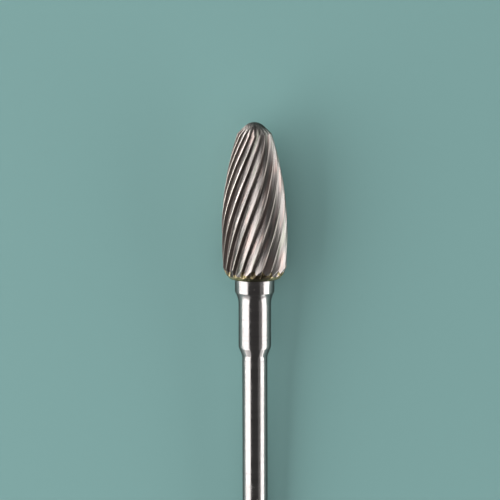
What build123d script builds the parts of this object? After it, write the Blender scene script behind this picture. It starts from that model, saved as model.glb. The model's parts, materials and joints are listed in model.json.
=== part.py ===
from build123d import *

import math
import os

# A carbide burr for a laboratory handpiece, lying on a bench.
#
# Three pieces are brazed end to end on one axis: a ground tungsten carbide head,
# the disc of braze under it, and a turned steel shank. Heights along the burr
# start at the underside of the braze and grow towards the tip. The burr rests on
# two neighbouring teeth, at the heel of the head, and on the end of its shank.

# --- Overall (mm) ---
overall_length = 44.5
head_length = 14.70  # braze and carbide, up to the tip

# --- Head, over the cutting edges ---
head_diameter = 6.15
widest_height = 4.2
heel_diameter = 5.98  # where the back taper meets the heel cone
heel_height = 1.05
rim_diameter = 3.21  # where the long side curve meets the tip cone
tip_slope = 45.0  # of the tip cone, from a plane across the burr
nose_radius = 1.30

# --- Teeth (angles in degrees) ---
teeth = 19
helix_angle = 20.3  # right hand, held constant along each cutting edge
rake_angle = 20.0  # how far the rake face leans back from a radius
relief_angle = 40.0  # how fast the back of a tooth falls away
land_width = 0.07  # left at full radius behind each cutting edge
gullet_corner = 0.13  # cut off the corner between rake face and back by the flat floor
tip_run_out = 0.72  # inward travel of the wheel for each mm of height, over the tip cone

# --- Braze ---
braze_thickness = 0.35
braze_top_diameter = 5.34
braze_bottom_diameter = 4.76

# --- Shank ---
shank_diameter = 2.35
shank_chamfer = 0.25
collar_diameter = 3.70
collar_length = 1.32
neck_diameter = 3.04
neck_end_depth = 6.58  # below the head, where the neck starts to narrow
collar_arc_radius = 2.20
cone_half_angle = 22.0
cone_blend_radius = 0.6

# --- Sections and margins of the flute cutter ---
body_sections = 7
tip_sections = 3
cutter_overrun = 0.45  # past the braze and past the tip
cutter_reach = 0.15  # outside the cutting edges, as a share of their radius
rim_clearance = 0.04  # from the rim to the cutter's own bend

# Radii
head_radius = head_diameter / 2
heel_radius = heel_diameter / 2
rim_radius = rim_diameter / 2
collar_radius = collar_diameter / 2
neck_radius = neck_diameter / 2
shank_radius = shank_diameter / 2

# The nose is a ball cap, and the tip cone runs down from it to the rim.
slope = math.radians(tip_slope)
nose_centre = head_length - nose_radius
nose_edge = (nose_radius * math.sin(slope), nose_centre + nose_radius * math.cos(slope))
rim_height = nose_edge[1] - (rim_radius - nose_edge[0]) * math.tan(slope)

# The side of the head is one arc, upright at the widest circle and ending at the rim.
side_rise = rim_height - widest_height
side_fall = head_radius - rim_radius
side_arc_radius = (side_rise**2 + side_fall**2) / (2 * side_fall)

# Angles round the burr
pitch_angle = 360 / teeth
land_angle = math.degrees(land_width / head_radius)
gap_angle = pitch_angle - land_angle

# Heights of the shank's end, and of the rim that its chamfer leaves
shank_end = head_length - overall_length
shank_rim = shank_end + shank_chamfer


def heights(low, high, count):
    """Evenly spaced heights, both ends included."""
    return [low + (high - low) * i / (count - 1) for i in range(count)]


def edge_radius(height):
    """Distance from the axis to the cutting edges, continued past both ends of the head."""
    if height < widest_height:
        taper = (head_radius - heel_radius) / (widest_height - heel_height)
        return head_radius - taper * (widest_height - height)
    bend_height = rim_height + rim_clearance
    on_arc = min(height, bend_height) - widest_height
    radius = head_radius - side_arc_radius + math.sqrt(side_arc_radius**2 - on_arc**2)
    return radius - tip_run_out * max(height - bend_height, 0)


def flute_turn(height, steps=60):
    """How far a cutting edge turns about the burr from the heel up to this height."""
    step = (height - heel_height) / steps
    middles = [heel_height + (i + 0.5) * step for i in range(steps)]
    turn = sum(math.tan(math.radians(helix_angle)) * step / edge_radius(h) for h in middles)
    return math.degrees(turn)


# How the burr lies. The floor touches the rim of the shank's end and the deepest edge of
# the head, and the burr rolls until it lies lowest, on two neighbouring teeth.
edge_line = [(h, edge_radius(h), flute_turn(h)) for h in heights(heel_height, rim_height, 80)]


def lean_when_rolled(roll):
    """The lean of the axis when the first cutting edge stands this far past the lowest line."""
    leans = []
    for height, radius, turn in edge_line:
        past = (roll + turn) % pitch_angle
        off_lowest = max(min(past - land_angle, pitch_angle - past), 0)
        drop = radius * math.cos(math.radians(off_lowest))
        leans.append(math.atan2(drop - shank_radius, height - shank_rim))
    return max(leans)


rest_roll = min(heights(0, pitch_angle, 400), key=lean_when_rolled)
lean = lean_when_rolled(rest_roll)
axis_direction = Vector(0, math.cos(lean), math.sin(lean))
across_up = Vector(0, -math.sin(lean), math.cos(lean))
lowest_line = 90  # degrees, from the side to the underside of the burr

# The floor is at height nought, under the middle of the burr's length.
joint_rise = shank_radius * math.cos(lean) - shank_rim * math.sin(lean)
tip_reach = nose_centre * math.cos(lean) + nose_radius
shank_reach = -shank_end * math.cos(lean) + (shank_radius - shank_chamfer) * math.sin(lean)
joint_centre = Vector(0, (shank_reach - tip_reach) / 2, joint_rise)

burr_axis = Axis(joint_centre, axis_direction)
profile_plane = Plane(joint_centre, x_dir=(1, 0, 0), z_dir=across_up)
cross_plane = Plane(joint_centre, x_dir=(1, 0, 0), z_dir=axis_direction)


def flute_section(height):
    """The gap between one cutting edge and the land behind the next, across the burr."""
    radius = edge_radius(height)
    rake = math.radians(rake_angle)
    relief = math.radians(gap_angle - relief_angle)
    cutting_edge = Vector(radius, 0)
    land_back = Vector(radius, 0).rotate(Axis.Z, gap_angle)
    up_the_rake = Vector(math.cos(rake), -math.sin(rake))
    up_the_back = Vector(-math.sin(relief), math.cos(relief))
    across = land_back - cutting_edge
    rake_length = across.cross(up_the_back).Z / up_the_back.cross(up_the_rake).Z
    gullet = cutting_edge - up_the_rake * rake_length
    floor_inset = gullet_corner * radius / head_radius
    angle = lowest_line + rest_roll + flute_turn(height)
    turned = cross_plane.offset(height).location * Rotation(0, 0, angle)
    with BuildSketch(Plane(turned)) as section:
        with BuildLine():
            Polyline(
                gullet + up_the_rake * floor_inset,
                cutting_edge + up_the_rake * (cutter_reach * radius),
                land_back + up_the_back * (cutter_reach * radius),
                gullet + up_the_back * floor_inset,
                close=True,
            )
        make_face()
    return section.sketch


# The flute cutter: the space that a grinding wheel clears between two teeth. It follows
# the side of the head, then bends inwards over the tip cone, where the teeth run out.
with BuildPart() as flute:
    bend = rim_height + rim_clearance
    loft([flute_section(h) for h in heights(-cutter_overrun, bend, body_sections)])
    loft([flute_section(h) for h in heights(bend, head_length + cutter_overrun, tip_sections)])

flutes = [flute.part.rotate(burr_axis, i * pitch_angle) for i in range(teeth)]

# Carbide head: a turned blank, with the flutes ground through its side, heel and tip cone.
with BuildPart() as carbide_head:
    with BuildSketch(profile_plane):
        with BuildLine():
            Polyline(
                (0, braze_thickness),
                (braze_top_diameter / 2, braze_thickness),
                (heel_radius, heel_height),
                (head_radius, widest_height),
            )
            TangentArc((head_radius, widest_height), (rim_radius, rim_height), tangent=(0, 1))
            Line((rim_radius, rim_height), nose_edge)
            RadiusArc(nose_edge, (0, head_length), -nose_radius)
            Line((0, head_length), (0, braze_thickness))
        make_face()
    revolve(axis=burr_axis)
    add(flutes, mode=Mode.SUBTRACT)

# Braze: a thin disc, ground to a bevel with the head, its rim nicked by the flutes.
with BuildPart() as braze_joint:
    with BuildSketch(profile_plane):
        with BuildLine():
            Polyline(
                (0, 0),
                (braze_bottom_diameter / 2, 0),
                (braze_top_diameter / 2, braze_thickness),
                (0, braze_thickness),
                close=True,
            )
        make_face()
    revolve(axis=burr_axis)
    add(flutes, mode=Mode.SUBTRACT)

# Steel shank: collar, hollow arc down to the neck, cone, and the plain gripped length.
arc_depth = math.sqrt(collar_arc_radius**2 - (collar_arc_radius - collar_radius + neck_radius) ** 2)
cone_length = (neck_radius - shank_radius) / math.tan(math.radians(cone_half_angle))
with BuildPart() as steel_shank:
    with BuildSketch(profile_plane) as shank_profile:
        with BuildLine():
            Polyline((0, 0), (collar_radius, 0), (collar_radius, -collar_length))
            neck_top = (neck_radius, -collar_length - arc_depth)
            TangentArc(neck_top, (collar_radius, -collar_length), tangent=(0, 1))
            Polyline(
                neck_top,
                (neck_radius, -neck_end_depth),
                (shank_radius, -neck_end_depth - cone_length),
                (shank_radius, shank_end + shank_chamfer),
                (shank_radius - shank_chamfer, shank_end),
                (0, shank_end),
                (0, 0),
            )
        make_face()
        cone_ends = shank_profile.vertices().filter_by_position(
            Axis.Y, -neck_end_depth - cone_length, -neck_end_depth
        )
        fillet(cone_ends, cone_blend_radius)
    revolve(axis=burr_axis)

os.makedirs("parts", exist_ok=True)
carbide_head.part.label = "carbide_head"
braze_joint.part.label = "braze_joint"
steel_shank.part.label = "steel_shank"
export_step(carbide_head.part, "parts/carbide_head.step")
export_step(braze_joint.part, "parts/braze_joint.step")
export_step(steel_shank.part, "parts/steel_shank.step")
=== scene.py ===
import json
import math

import bmesh
import bpy
from mathutils import Matrix, Vector


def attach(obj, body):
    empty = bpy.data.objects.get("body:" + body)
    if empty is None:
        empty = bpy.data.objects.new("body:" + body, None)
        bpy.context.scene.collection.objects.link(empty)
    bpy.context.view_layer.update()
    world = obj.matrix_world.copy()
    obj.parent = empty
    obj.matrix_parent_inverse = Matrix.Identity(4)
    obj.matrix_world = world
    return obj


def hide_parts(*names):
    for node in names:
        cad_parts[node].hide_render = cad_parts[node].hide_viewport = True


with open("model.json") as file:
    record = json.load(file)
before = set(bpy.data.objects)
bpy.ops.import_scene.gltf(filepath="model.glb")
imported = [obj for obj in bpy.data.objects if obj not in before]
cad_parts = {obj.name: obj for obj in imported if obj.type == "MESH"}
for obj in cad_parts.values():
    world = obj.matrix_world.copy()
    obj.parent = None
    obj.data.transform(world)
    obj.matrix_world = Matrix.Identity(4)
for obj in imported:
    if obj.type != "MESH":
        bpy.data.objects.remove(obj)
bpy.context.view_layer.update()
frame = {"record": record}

# --- Steel shank ---
# One bar of stainless steel, turned to a collar, a hollow, a neck and a cone, and ground to
# a plain length that the collet of a handpiece grips. The tool and the wheel left fine rings
# round it, and a few dark specks mark its skin.

# Sizes are in millimetres. Heights start at the underside of the braze and grow towards the
# tip, so those of the shank are negative.
mm = 0.001
collar_radius = 1.85
collar_foot = -1.32
hollow_radius = 2.2
neck_radius = 1.52
cone_top = -6.58
cone_degrees = 22  # from the axis
cone_bend = 0.6  # radius at each end of the cone
plain_radius = 1.175
shank_end = -29.8
chamfer = 0.25

# Places that follow from these sizes
hollow_depth = math.sqrt(hollow_radius**2 - (hollow_radius - collar_radius + neck_radius) ** 2)
neck_top = collar_foot - hollow_depth
bend_reach = cone_bend * math.tan(math.radians(cone_degrees / 2))
neck_foot = cone_top + bend_reach
cone_length = (neck_radius - plain_radius) / math.tan(math.radians(cone_degrees))
plain_top = cone_top - cone_length - bend_reach
plain_foot = shank_end + chamfer

# The burr's own frame: across it, down to the floor, and along it towards the tip, with its
# origin in the middle of the face between shank and braze. The frame of the part gives the
# middle of the plain length, where a handpiece grips it.
grip = frame["record"]["mounts"][0]
along = -Vector(grip["axis"]).normalized()
across = Vector((1, 0, 0))
down = along.cross(across)
joint_centre = Vector(grip["pos_m"]) - along * (plain_top + plain_foot) / 2 * mm
burr_frame = Matrix((across, down, along)).transposed().to_4x4()
burr_frame.translation = joint_centre


def span(low, high, count):
    """Evenly spaced values, both ends included."""
    return [low + (high - low) * i / (count - 1) for i in range(count)]


def straight(start, end, count):
    """Evenly spaced points on a straight line, both ends included."""
    return list(zip(span(start[0], end[0], count), span(start[1], end[1], count)))


def arc(centre, radius, start, end, count):
    """Points on an arc, from one angle to another in degrees."""
    turns = [math.radians(degrees) for degrees in span(start, end, count)]
    return [(centre[0] + radius * math.cos(t), centre[1] + radius * math.sin(t)) for t in turns]


def turned(profile, steps):
    """A closed mesh, in the burr's own frame, from a profile of (radius, height)."""
    mesh = bmesh.new()
    points = [mesh.verts.new((radius * mm, 0, height * mm)) for radius, height in profile]
    lines = [mesh.edges.new(pair) for pair in zip(points, points[1:])]
    bmesh.ops.spin(
        mesh, geom=points + lines, cent=(0, 0, 0), axis=(0, 0, 1),
        angle=math.tau, steps=steps, use_merge=True,
    )
    bmesh.ops.remove_doubles(mesh, verts=mesh.verts, dist=1e-7)
    bmesh.ops.recalc_face_normals(mesh, faces=mesh.faces)
    return mesh


def shaded(mesh, sharp_degrees):
    """Smooth shading, kept crisp where two faces meet at more than this angle."""
    for face in mesh.faces:
        face.smooth = True
    for edge in mesh.edges:
        edge.smooth = edge.calc_face_angle(0) < math.radians(sharp_degrees)


def built(mesh, name, material):
    """A mesh as an object of the scene."""
    data = bpy.data.meshes.new(name)
    mesh.to_mesh(data)
    mesh.free()
    data.materials.append(material)
    piece = bpy.data.objects.new(name, data)
    bpy.context.scene.collection.objects.link(piece)
    return piece


def placed(mesh, name, material):
    """A finished piece, with its place on the burr in its mesh."""
    bmesh.ops.transform(mesh, matrix=burr_frame, verts=mesh.verts)
    return built(mesh, name, material)


broken_edge = 0.05  # round the top of the collar
edge_middle = 0.3  # how far a broken edge's middle is from the corner, as a share of it
upper_wear = 0.04  # along the shank, on the chamfer's upper corner
lower_wear = 0.03  # across the shank, on its lower corner
lower_rise = 0.018
end_radius = plain_radius - chamfer

hollow_degrees = math.degrees(math.asin(hollow_depth / hollow_radius))
hollow_centre = (neck_radius + hollow_radius, neck_top)

shank_profile = [(0, 0), (collar_radius - broken_edge, 0)]
shank_profile += [(collar_radius - broken_edge * edge_middle, -broken_edge * edge_middle)]
shank_profile += straight((collar_radius, -broken_edge), (collar_radius, collar_foot), 4)[:-1]
shank_profile += arc(hollow_centre, hollow_radius, 180 - hollow_degrees, 180, 14)
shank_profile += straight((neck_radius, neck_top), (neck_radius, neck_foot), 10)[1:-1]
shank_profile += arc((neck_radius - cone_bend, neck_foot), cone_bend, 0, -cone_degrees, 6)
shank_profile += arc((plain_radius + cone_bend, plain_top), cone_bend, 180 - cone_degrees, 180, 6)
shank_profile += straight((plain_radius, plain_top), (plain_radius, plain_foot + upper_wear), 25)[1:]
shank_profile += [
    (plain_radius - upper_wear * edge_middle, plain_foot),
    (end_radius + lower_wear, shank_end + lower_rise),
    (end_radius - lower_wear, shank_end),
    (0, shank_end),
]


def feed(tree, socket, value):
    """Link a socket to what feeds it, or give it a plain value."""
    if isinstance(value, bpy.types.NodeSocket):
        tree.links.new(value, socket)
    else:
        socket.default_value = value


def put(tree, kind, settings=None, **sockets):
    """A shader node with its settings, and with a value or a feed for each named socket."""
    node = tree.nodes.new("ShaderNode" + kind)
    for name, value in (settings or {}).items():
        setattr(node, name, value)
    for name, value in sockets.items():
        feed(tree, node.inputs[name.replace("_", " ")], value)
    return node


def maths(tree, operation, *values):
    """One arithmetic step between values or sockets."""
    node = put(tree, "Math", {"operation": operation})
    for socket, value in zip(node.inputs, values):
        feed(tree, socket, value)
    return node.outputs[0]


def noise(tree, vector, scale, detail, roughness):
    """Soft noise with about this many patches in one unit of the vector."""
    node = put(tree, "TexNoise", Vector=vector, Scale=scale, Detail=detail, Roughness=roughness)
    return node.outputs[0]


def remapped(tree, value, given, wanted=(0, 1)):
    """A value carried smoothly from one range to another, and kept inside it."""
    node = put(
        tree, "MapRange", {"interpolation_type": "SMOOTHSTEP"},
        Value=value, From_Min=given[0], From_Max=given[1], To_Min=wanted[0], To_Max=wanted[1],
    )
    return node.outputs[0]


def blended(tree, amount, low, high):
    """A mix of two colours. Sockets 0, 6 and 7 are the ones that a mix of colours uses."""
    node = put(tree, "Mix", {"data_type": "RGBA"})
    for number, value in ((0, amount), (6, low), (7, high)):
        feed(tree, node.inputs[number], value)
    return node.outputs[2]


def rgb(red, green, blue):
    """An opaque colour."""
    return (red, green, blue, 1)


def new_material(name):
    """A material, its node tree and its bare Principled shader."""
    material = bpy.data.materials.new(name)
    material.use_nodes = True
    tree = material.node_tree
    return material, tree, tree.nodes["Principled BSDF"]


def new_group(name, given, results):
    """An empty node group with named sockets, and its input and output nodes."""
    group = bpy.data.node_groups.new(name, "ShaderNodeTree")
    for in_out, sockets in (("INPUT", given), ("OUTPUT", results)):
        for label, kind in sockets.items():
            group.interface.new_socket(label, in_out=in_out, socket_type="NodeSocket" + kind)
    return group, group.nodes.new("NodeGroupInput"), group.nodes.new("NodeGroupOutput")


def ring_lines_group():
    """Rings round the axis: fine lines, and broad bands where the finish is smoother."""
    group, given, results = new_group(
        "ring_lines",
        {"Vector": "Vector", "Lines per mm": "Float"},
        {"Lines": "Float", "Bands": "Float"},
    )
    levelled = put(
        group, "VectorRotate", {"rotation_type": "X_AXIS"},
        Vector=given.outputs["Vector"], Angle=-math.atan2(along.z, along.y),
    )
    place = put(group, "SeparateXYZ", Vector=levelled.outputs[0])
    lines_per_metre = maths(group, "MULTIPLY", given.outputs["Lines per mm"], 1 / mm)
    line_number = maths(group, "MULTIPLY", place.outputs["Y"], lines_per_metre)
    sideways = maths(group, "MULTIPLY", place.outputs["X"], 150)  # lines fade round the bar
    line_place = put(group, "CombineXYZ", X=sideways, Y=line_number).outputs[0]
    band_number = maths(group, "MULTIPLY", line_number, 0.09)  # a band is about 11 lines
    band_place = put(group, "CombineXYZ", Y=band_number).outputs[0]
    lines = noise(group, line_place, scale=1, detail=2, roughness=0.6)
    bands = noise(group, band_place, scale=1, detail=3, roughness=0.6)
    feed(group, results.inputs["Lines"], lines)
    feed(group, results.inputs["Bands"], bands)
    return group


ring_lines = ring_lines_group()

bright_steel = rgb(0.435, 0.405, 0.395)
smudged_steel = rgb(0.385, 0.36, 0.35)
banded_steel = rgb(0.31, 0.29, 0.28)
ringed_steel = rgb(0.27, 0.25, 0.26)
speck_brown = rgb(0.22, 0.19, 0.17)
steel_at_edges = rgb(0.3, 0.28, 0.28)  # what steel reflects where it is seen edge on
speck_radius = 0.036  # in cells of about a millimetre, with one speck in each


def turned_steel():
    """Steel with rings and bands round it, faint smudges and a few dark specks."""
    material, tree, shader = new_material("turned_steel")
    position = put(tree, "TexCoord").outputs["Object"]
    fine = put(tree, "Group", {"node_tree": ring_lines}, Vector=position, Lines_per_mm=14)
    coarse = put(tree, "Group", {"node_tree": ring_lines}, Vector=position, Lines_per_mm=4)
    smudges = noise(tree, position, scale=520, detail=4, roughness=0.55)
    cells = put(tree, "TexVoronoi", Vector=position, Scale=900, Randomness=1)
    speck = maths(tree, "LESS_THAN", cells.outputs["Distance"], speck_radius)

    tint = blended(tree, remapped(tree, smudges, (0.35, 0.7)), bright_steel, smudged_steel)
    bands = maths(tree, "MULTIPLY", fine.outputs["Bands"], 0.4)
    tint = blended(tree, bands, tint, banded_steel)
    rings = remapped(tree, coarse.outputs["Lines"], (0.5, 0.72), (0, 0.5))
    tint = blended(tree, rings, tint, ringed_steel)
    feed(tree, shader.inputs["Base Color"], blended(tree, speck, tint, speck_brown))
    feed(tree, shader.inputs["Metallic"], maths(tree, "SUBTRACT", 1.0, speck))
    shader.inputs["Specular Tint"].default_value = steel_at_edges

    ring_roughness = remapped(tree, fine.outputs["Bands"], (0.3, 0.7), (0.12, 0.22))
    smudge_roughness = remapped(tree, smudges, (0.45, 0.75), (0, 0.08))
    roughness = maths(tree, "ADD", ring_roughness, smudge_roughness)
    feed(tree, shader.inputs["Roughness"], roughness)
    grooves = put(tree, "Bump", Strength=0.3, Distance=0.002 * mm, Height=fine.outputs["Lines"])
    feed(tree, shader.inputs["Normal"], grooves.outputs[0])
    return material


shank_mesh = turned(shank_profile, steps=160)
shaded(shank_mesh, sharp_degrees=28)
shank = placed(shank_mesh, "turned_shank", turned_steel())
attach(shank, "root")
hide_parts("steel_shank")

# --- Braze ---
# A thin disc of brass-coloured braze, run between shank and head in the furnace, and then
# ground to a bevel with the head, so that the flutes nick its rim. It is tarnished, and has
# painted shade at its foot, in the corner with the collar.

braze_height = 0.35
braze_top_radius = 2.67
braze_bottom_radius = 2.38

# The flutes run through braze and head alike, so the outline that they follow is set out
# here: a heel bevel, a long side curve, a tip cone and a ball nose.
head_length = 14.7  # braze and carbide, up to the tip
head_radius = 3.075
widest_height = 4.2
heel_radius = 2.99
heel_height = 1.05
rim_radius = 1.605  # where the side curve meets the tip cone
nose_radius = 1.3
tip_slope = math.radians(45)

nose_centre = head_length - nose_radius
nose_edge = (nose_radius * math.sin(tip_slope), nose_centre + nose_radius * math.cos(tip_slope))
rim_height = nose_edge[1] - (rim_radius - nose_edge[0]) * math.tan(tip_slope)
side_rise = rim_height - widest_height
side_fall = head_radius - rim_radius
side_arc_radius = (side_rise**2 + side_fall**2) / (2 * side_fall)

# The teeth
teeth = 19
pitch = math.tau / teeth
helix = math.radians(20.3)  # right hand, the same all along a cutting edge
rake = math.radians(20)  # how far the rake face leans back from a radius
relief = math.radians(36)  # how fast the back of a tooth falls away
land_width = 0.07  # left at full radius behind each cutting edge
gullet_radius = 0.12
back_swell = 0.012  # how far the back of a tooth stands past flat
rim_clearance = 0.04  # from the rim to where the wheel turns inwards
tip_run_out = 0.80  # inward travel of the wheel for each mm of height, over the tip cone
underside = math.pi / 2  # angle of the burr's lowest line, in its own frame
rest_roll = math.radians(9.5449)  # from there to the first cutting edge, at the heel


def edge_radius(height):
    """Distance from the axis to the cutting edges, continued past both ends of the head."""
    if height < widest_height:
        taper = (head_radius - heel_radius) / (widest_height - heel_height)
        return head_radius - taper * (widest_height - height)
    bend_height = rim_height + rim_clearance
    on_arc = min(height, bend_height) - widest_height
    radius = head_radius - side_arc_radius + math.sqrt(side_arc_radius**2 - on_arc**2)
    return radius - tip_run_out * max(height - bend_height, 0)


def flute_turn(height, steps=40):
    """How far a cutting edge turns about the burr from the heel up to this height."""
    step = (height - heel_height) / steps
    middles = [heel_height + (i + 0.5) * step for i in range(steps)]
    return sum(math.tan(helix) * step / edge_radius(middle) for middle in middles)


def tooth_section():
    """The gap and the land from one cutting edge to the next, as (angle, share of radius)."""
    land = land_width / head_radius
    gap = pitch - land
    back = gap - relief
    edge = Vector((1, 0))
    land_back = Vector((math.cos(gap), math.sin(gap)))
    up_the_rake = Vector((math.cos(rake), -math.sin(rake)))
    up_the_back = Vector((-math.sin(back), math.cos(back)))
    off_the_back = Vector((math.cos(back), math.sin(back)))
    depth = (land_back - edge).cross(up_the_back) / up_the_back.cross(up_the_rake)
    corner = edge - up_the_rake * depth

    # The gullet rounds off the corner between the rake face and the back.
    half_opening = up_the_rake.angle(up_the_back) / 2
    round_radius = gullet_radius / head_radius
    reach = round_radius / math.tan(half_opening)
    rake_foot = corner + up_the_rake * reach
    back_foot = corner + up_the_back * reach
    to_middle = (up_the_rake + up_the_back).normalized()
    middle = corner + to_middle * round_radius / math.sin(half_opening)

    # Points stand closer together near the edges, where the light breaks.
    section = [edge.lerp(rake_foot, t) for t in (0, 0.08, 0.3, 0.6)]
    for t in span(0, 1, 7):
        spoke = (rake_foot - middle).lerp(back_foot - middle, t)
        section.append(middle + spoke.normalized() * round_radius)
    for t in (0.15, 0.32, 0.5, 0.68, 0.84, 0.95, 1):
        swell = back_swell / head_radius * 4 * t * (1 - t)
        section.append(back_foot.lerp(land_back, t) + off_the_back * swell)
    section.append(Vector((math.cos(gap + land / 2), math.sin(gap + land / 2))))
    return [(math.atan2(point.y, point.x), point.length) for point in section]


tooth = tooth_section()
columns = len(tooth) * teeth  # of vertices, round the burr
skin_margin = 0.004  # a blank this far inside the cut keeps its turned skin
map_length = 20  # mm of height for one unit of the flute map


def cut_flutes(places, blank_skin):
    """Turn each vertex of a blank to its tooth, and move it in to where the wheel cut it."""
    heights = {height for column, height in places.values()}
    cuts = {height: (flute_turn(height), edge_radius(height)) for height in heights}
    for vertex, (column, height) in places.items():
        turn, limit = cuts[height]
        number, point = divmod(column, len(tooth))
        angle, share = tooth[point]
        blank = vertex.co.xy.length / mm
        cut = limit * share
        radius = min(blank, cut) * mm
        heading = underside + rest_roll + turn + number * pitch + angle
        vertex[blank_skin] = 1.0 if blank < cut - skin_margin else 0.0
        vertex.co = (radius * math.cos(heading), radius * math.sin(heading), vertex.co.z)


def map_flutes(mesh, places, flute_map):
    """A map that follows the flutes: height along it, and a whole number at each edge."""
    for face in mesh.faces:
        face_columns = [places[loop.vert][0] for loop in face.loops]
        closes_ring = max(face_columns) - min(face_columns) > columns / 2
        for loop in face.loops:
            column, height = places[loop.vert]
            number, point = divmod(column, len(tooth))
            if closes_ring and column < columns / 2:
                number += teeth
            loop[flute_map].uv = (height / map_length, number + tooth[point][0] / pitch)


def fluted(profile):
    """A turned blank with the flutes cut into it and mapped, in the burr's own frame."""
    mesh = turned(profile, columns)
    blank_skin = mesh.verts.layers.float.new("blank_skin")
    flute_map = mesh.loops.layers.uv.new("flute")
    places = {}  # each vertex's column round the burr, and its height
    for vertex in mesh.verts:
        x, y, z = vertex.co / mm
        places[vertex] = (round(math.atan2(y, x) / math.tau * columns) % columns, round(z, 5))
    cut_flutes(places, blank_skin)
    map_flutes(mesh, places, flute_map)
    return mesh


olive_gold = rgb(0.25, 0.21, 0.09)
bright_gold = rgb(0.55, 0.45, 0.26)
copper_red = rgb(0.48, 0.29, 0.18)
flux_brown = rgb(0.06, 0.045, 0.03)
# painted shade for the corner where the braze meets the collar
corner_painted_shade = rgb(0.035, 0.028, 0.02)


def braze_look_group():
    """Ground braze: gold where it was wiped bright, olive, coppery, and burnt by flux."""
    group, given, results = new_group(
        "braze_look",
        {"Vector": "Vector"},
        {"Colour": "Color", "Patches": "Float", "Grain": "Float"},
    )
    moved = put(
        group, "Mapping", Vector=given.outputs["Vector"], Location=(0.0331, 0.0242, 0.0047)
    ).outputs[0]
    patches = noise(group, moved, scale=420, detail=3, roughness=0.6)
    mottle = noise(group, moved, scale=2600, detail=4, roughness=0.65)
    grain = noise(group, moved, scale=7000, detail=2, roughness=0.5)
    gold = blended(group, remapped(group, mottle, (0.35, 0.62)), olive_gold, bright_gold)
    gold = blended(group, remapped(group, mottle, (0.6, 0.75), (0, 0.8)), gold, copper_red)
    flux = maths(group, "ADD", patches, maths(group, "MULTIPLY", grain, 0.25))
    gold = blended(group, remapped(group, flux, (0.62, 0.72), (0, 0.92)), gold, flux_brown)
    feed(group, results.inputs["Colour"], gold)
    feed(group, results.inputs["Patches"], patches)
    feed(group, results.inputs["Grain"], grain)
    return group


braze_look = braze_look_group()


def tarnished_braze_with_painted_shade():
    """The look of ground braze, with painted shade towards the foot of the disc."""
    material, tree, shader = new_material("tarnished_braze_with_painted_shade")
    position = put(tree, "TexCoord").outputs["Object"]
    look = put(tree, "Group", {"node_tree": braze_look}, Vector=position)
    flute_map = put(tree, "UVMap", {"uv_map": "flute"}).outputs[0]
    height = put(tree, "SeparateXYZ", Vector=flute_map).outputs["X"]
    # painted shade over the lowest part of the braze, in the corner with the collar
    painted_foot_shade = remapped(tree, height, (0, 0.16 / map_length), (0.8, 0))
    colour = blended(tree, painted_foot_shade, look.outputs["Colour"], corner_painted_shade)
    feed(tree, shader.inputs["Base Color"], colour)
    shader.inputs["Metallic"].default_value = 1.0
    roughness = remapped(tree, look.outputs["Grain"], (0.3, 0.7), (0.32, 0.5))
    feed(tree, shader.inputs["Roughness"], roughness)
    pits = put(tree, "Bump", Strength=0.5, Distance=0.01 * mm, Height=look.outputs["Grain"])
    feed(tree, shader.inputs["Normal"], pits.outputs[0])
    return material


def bevel_radius(height):
    """Radius of the braze's bevel."""
    return braze_bottom_radius + (braze_top_radius - braze_bottom_radius) * height / braze_height


braze_inner_ring = 1.8  # of points, inside the gullets
braze_corner = (0.03, 0.02)  # inwards and upwards, off the bottom corner
braze_profile = [(0, 0), (braze_inner_ring, 0), (braze_bottom_radius - braze_corner[0], 0)]
braze_profile += [(bevel_radius(h), h) for h in span(braze_corner[1], braze_height, 8)]
braze_profile += [(0, braze_height)]

braze_mesh = fluted(braze_profile)
shaded(braze_mesh, sharp_degrees=30)
braze = placed(braze_mesh, "braze_disc", tarnished_braze_with_painted_shade())
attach(braze, "root")
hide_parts("braze_joint")

# --- Carbide head ---
# Sintered tungsten carbide, turned round with a ball nose, with its teeth ground by a thin
# diamond wheel that follows a right-hand helix and runs out over the tip cone. The backs of
# the teeth are bright and streaked, the rake faces and gullets get painted shade, and braze
# is smeared up the heel.

head_inner_rings = (1.9, 2.3)  # of points, on the face that meets the braze
head_profile = [(radius, braze_height) for radius in (0, *head_inner_rings)]
head_profile += straight((braze_top_radius, braze_height), (heel_radius, heel_height), 18)
head_profile += [(edge_radius(height), height) for height in span(heel_height, rim_height, 118)[1:]]
head_profile += straight((rim_radius, rim_height), nose_edge, 40)[1:]
head_profile += arc((0, nose_centre), nose_radius, 45, 90, 22)[1:]

back_grey = rgb(0.385, 0.345, 0.33)
back_bright = rgb(0.50, 0.455, 0.435)
streak_grey = rgb(0.26, 0.25, 0.235)
pink_tint = rgb(0.55, 0.43, 0.39)
olive_tint = rgb(0.30, 0.32, 0.25)
# painted shade for the rake faces and gullets
gullet_painted_shade = rgb(0.10, 0.083, 0.075)
gullet_shade_brown = rgb(0.22, 0.19, 0.175)
land_straw = rgb(0.45, 0.405, 0.36)
# painted shade for the turned skin on the nose
skin_painted_shade = rgb(0.05, 0.044, 0.042)
skin_shade_grey = rgb(0.25, 0.225, 0.21)
carbide_at_edges = rgb(0.5, 0.48, 0.47)  # what carbide reflects where it is seen edge on

back_start = (0.20, 0.32)  # where gullet turns to back, as shares of the pitch
land_start = (0.92, 0.95)
tooth_shift = 3.7  # from tooth to tooth, so that their streaks differ


def flute_noise(tree, up, around, cells, detail, roughness):
    """Noise drawn out along the flutes, with its cells counted up the map and in one tooth."""
    number = maths(tree, "FLOOR", around)
    vector = put(
        tree, "CombineXYZ",
        X=maths(tree, "MULTIPLY", up, cells[0]),
        Y=maths(tree, "MULTIPLY", around, cells[1]),
        Z=maths(tree, "MULTIPLY", number, tooth_shift),
    )
    return noise(tree, vector.outputs[0], 1, detail, roughness)


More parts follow.
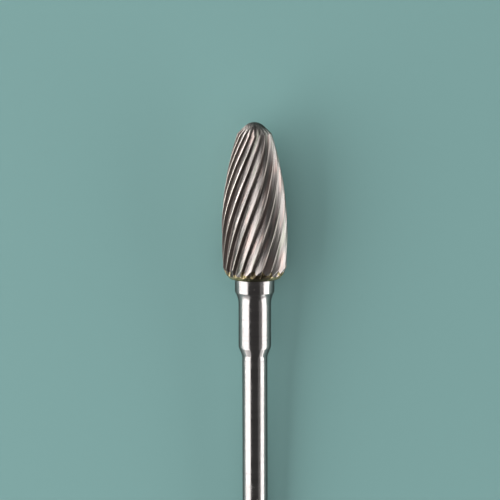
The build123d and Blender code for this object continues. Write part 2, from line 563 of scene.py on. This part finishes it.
def tooth_colour(tree, in_tooth, land, scratches, streaks, tints):
    """Bright backs with streaks and faint tints, painted shade on the rake faces and in the gullets,
    and a pale land.
    """
    back = blended(tree, remapped(tree, scratches, (0.3, 0.7)), back_grey, back_bright)
    back = blended(tree, remapped(tree, streaks, (0.50, 0.68), (0, 0.75)), back, streak_grey)
    back = blended(tree, remapped(tree, tints, (0.50, 0.66), (0, 0.9)), back, pink_tint)
    back = blended(tree, remapped(tree, tints, (0.33, 0.47), (0.65, 0)), back, olive_tint)
    # painted shade on the rake faces and in the gullets, broken up by brown scratches
    gullet_shade = blended(tree, scratches, gullet_painted_shade, gullet_shade_brown)
    colour = blended(tree, remapped(tree, in_tooth, back_start), gullet_shade, back)
    return blended(tree, land, colour, land_straw)


def smeared(tree, colour, up, in_tooth, scratches):
    """A colour with braze over the heel, which rises highest in patches and in the gullets."""
    position = put(tree, "TexCoord").outputs["Object"]
    look = put(tree, "Group", {"node_tree": braze_look}, Vector=position)
    rise = remapped(tree, look.outputs["Patches"], (0.42, 0.60), (0, 0.75))
    rise = maths(tree, "MULTIPLY", rise, remapped(tree, in_tooth, (0.3, 0.6), (1, 0.5)))
    rise = maths(tree, "ADD", rise, maths(tree, "MULTIPLY", scratches, 0.2))
    top = maths(tree, "MULTIPLY", maths(tree, "ADD", rise, 0.2), 1 / map_length)
    return blended(tree, maths(tree, "GREATER_THAN", top, up), colour, look.outputs["Colour"])


def ground_carbide():
    """Ground carbide, with the turned skin that the wheel left on the nose, painted dark as shade.
    """
    material, tree, shader = new_material("ground_carbide")
    flute_map = put(tree, "UVMap", {"uv_map": "flute"}).outputs[0]
    place = put(tree, "SeparateXYZ", Vector=flute_map)
    up = place.outputs["X"]
    around = place.outputs["Y"]
    in_tooth = maths(tree, "FRACT", around)
    land = remapped(tree, in_tooth, land_start)
    scratches = flute_noise(tree, up, around, cells=(9, 26), detail=4, roughness=0.65)
    streaks = flute_noise(tree, up, around, cells=(6, 7), detail=2, roughness=0.5)
    tints = flute_noise(tree, up, around, cells=(8, 2.5), detail=2, roughness=0.6)

    colour = tooth_colour(tree, in_tooth, land, scratches, streaks, tints)
    # the nose's turned skin, with painted shade making it near black
    skin_and_shade = blended(tree, remapped(tree, scratches, (0.42, 0.62)), skin_painted_shade, skin_shade_grey)
    blank_skin = put(tree, "Attribute", {"attribute_name": "blank_skin"}).outputs["Fac"]
    colour = blended(tree, blank_skin, colour, skin_and_shade)
    colour = smeared(tree, colour, up, in_tooth, scratches)
    feed(tree, shader.inputs["Base Color"], colour)
    shader.inputs["Metallic"].default_value = 1.0
    shader.inputs["Specular Tint"].default_value = carbide_at_edges

    roughness = remapped(tree, scratches, (0.25, 0.75), (0.26, 0.40))
    roughness = maths(tree, "ADD", roughness, remapped(tree, in_tooth, back_start, (0.1, 0)))
    roughness = maths(tree, "ADD", roughness, maths(tree, "MULTIPLY", land, 0.08))
    feed(tree, shader.inputs["Roughness"], roughness)
    fine = put(tree, "Bump", Strength=0.5, Distance=0.016 * mm, Height=scratches).outputs[0]
    broad = put(tree, "Bump", Strength=0.5, Distance=0.06 * mm, Height=streaks, Normal=fine)
    feed(tree, shader.inputs["Normal"], broad.outputs[0])
    return material


head_mesh = fluted(head_profile)
shaded(head_mesh, sharp_degrees=30)
head = placed(head_mesh, "fluted_head", ground_carbide())
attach(head, "root")
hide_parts("carbide_head")

# --- Floor, light and camera ---
# A plain pale floor. Two long soft boxes, dimmer at both ends, lay a bright band on each side
# of the burr, dim and low panels brighten its edges, and a fill lights the floor. The camera
# looks down from a little towards the tip.

floor_reach = 3.0  # metres, each way
floor_paint, tree, shader = new_material("pale_floor")
shader.inputs["Base Color"].default_value = rgb(0.19, 0.36, 0.345)
shader.inputs["Roughness"].default_value = 0.45
floor_mesh = bmesh.new()
bmesh.ops.create_grid(floor_mesh, x_segments=1, y_segments=1, size=floor_reach)
floor = built(floor_mesh, "floor", floor_paint)

aim_height = 2.62  # of the spot that the camera and the lights face, up from the joint
aim = joint_centre + along * aim_height * mm
swing = math.radians(5.88)  # of the camera, about the burr, to the right
tilt = math.radians(10)  # of the camera, towards the tip


def beside_burr(degrees):
    """The direction square to the burr, at an angle about it to the right of the camera."""
    angle = math.radians(degrees) + swing
    return across * math.sin(angle) - down * math.cos(angle)


def area_light(name, width, length, watts, place):
    """A rectangular light that the camera doesn't see, placed by a matrix in metres."""
    light = bpy.data.lights.new(name, "AREA")
    light.shape = "RECTANGLE"
    light.size = width
    light.size_y = length
    light.energy = watts
    box = bpy.data.objects.new(name, light)
    bpy.context.scene.collection.objects.link(box)
    box.matrix_world = place
    box.visible_camera = False
    return box


def soft_box(name, degrees, distance, width, length, watts, lengthways=0.0):
    """A light that faces the burr squarely, and stands this far along it towards the tip."""
    facing = beside_burr(degrees)
    sideways = along.cross(facing)
    place = Matrix((sideways, facing.cross(sideways), facing)).transposed().to_4x4()
    place.translation = aim + facing * distance + along * lengthways
    return area_light(name, width, length, watts, place)


# Each long soft box is three lights end to end. The middle one is bright, and the ones
# towards the tip and beyond the shank are dimmer.
left = {"degrees": -67.5, "distance": 0.42, "width": 0.40}
soft_box("left_soft_box", **left, length=0.46, lengthways=-0.17, watts=1.72)
soft_box("left_tip_end", **left, length=0.94, lengthways=0.53, watts=2.30)
soft_box("left_dim_end", **left, length=0.35, lengthways=-0.575, watts=0.45)

right = {"degrees": 70.5, "distance": 0.42, "width": 0.24}
soft_box("right_soft_box", **right, length=0.44, lengthways=-0.18, watts=0.89)
soft_box("right_tip_end", **right, length=0.41, lengthways=0.245, watts=0.40)
soft_box("right_dim_end", **right, length=0.35, lengthways=-0.575, watts=0.27)

# Dim panels over the tip and over the right side
soft_box("tip_dim_panel", degrees=0, distance=0.3, width=1.0, length=0.5, lengthways=0.8, watts=0.5)
soft_box("right_dim_panel", degrees=58, distance=0.5, width=0.5, length=0.9, watts=0.32)

# Low panels, just over the floor, that shine upwards: name, middle, width, length, watts
panel_rise = 0.0006
for name, x, y, width, length, watts in (
    ("low_left_panel", -0.125, 0.10, 0.14, 0.30, 0.8),
    ("low_right_panel", 0.11, 0.01, 0.17, 0.30, 0.6),
    ("low_tip_panel", -0.0105, 0.0215, 0.013, 0.017, 0.007),
):
    place = Matrix.Translation((x, y, panel_rise)) @ Matrix.Rotation(math.pi, 4, "X")
    area_light(name, width, length, watts, place)

# The fill isn't mirrored in the metal.
fill = soft_box("overhead_fill", degrees=0, distance=0.9, width=1.2, length=1.2, watts=4.1)
fill.visible_glossy = False

world = bpy.data.worlds.new("studio")
world.use_nodes = True
world.node_tree.nodes["Background"].inputs["Color"].default_value = rgb(0.07, 0.07, 0.07)
bpy.context.scene.world = world

camera_distance = 0.5195
camera_roll = 0.0021  # radians
camera_slide = 0.433 * mm  # to the left
camera_data = bpy.data.cameras.new("camera")
camera_data.lens = 400
camera_data.sensor_width = 36
camera_data.clip_start = 0.01
camera_data.clip_end = 20
camera = bpy.data.objects.new("camera", camera_data)
bpy.context.scene.collection.objects.link(camera)

backwards = beside_burr(0) * math.cos(tilt) + along * math.sin(tilt)
upright = (along - backwards * along.dot(backwards)).normalized()
picture_up = (upright + upright.cross(backwards) * camera_roll).normalized()
picture_right = picture_up.cross(backwards)
camera.matrix_world = Matrix((picture_right, picture_up, backwards)).transposed().to_4x4()
camera.matrix_world.translation = aim + backwards * camera_distance - picture_right * camera_slide
bpy.context.scene.camera = camera
bpy.context.scene.view_settings.view_transform = "Standard"
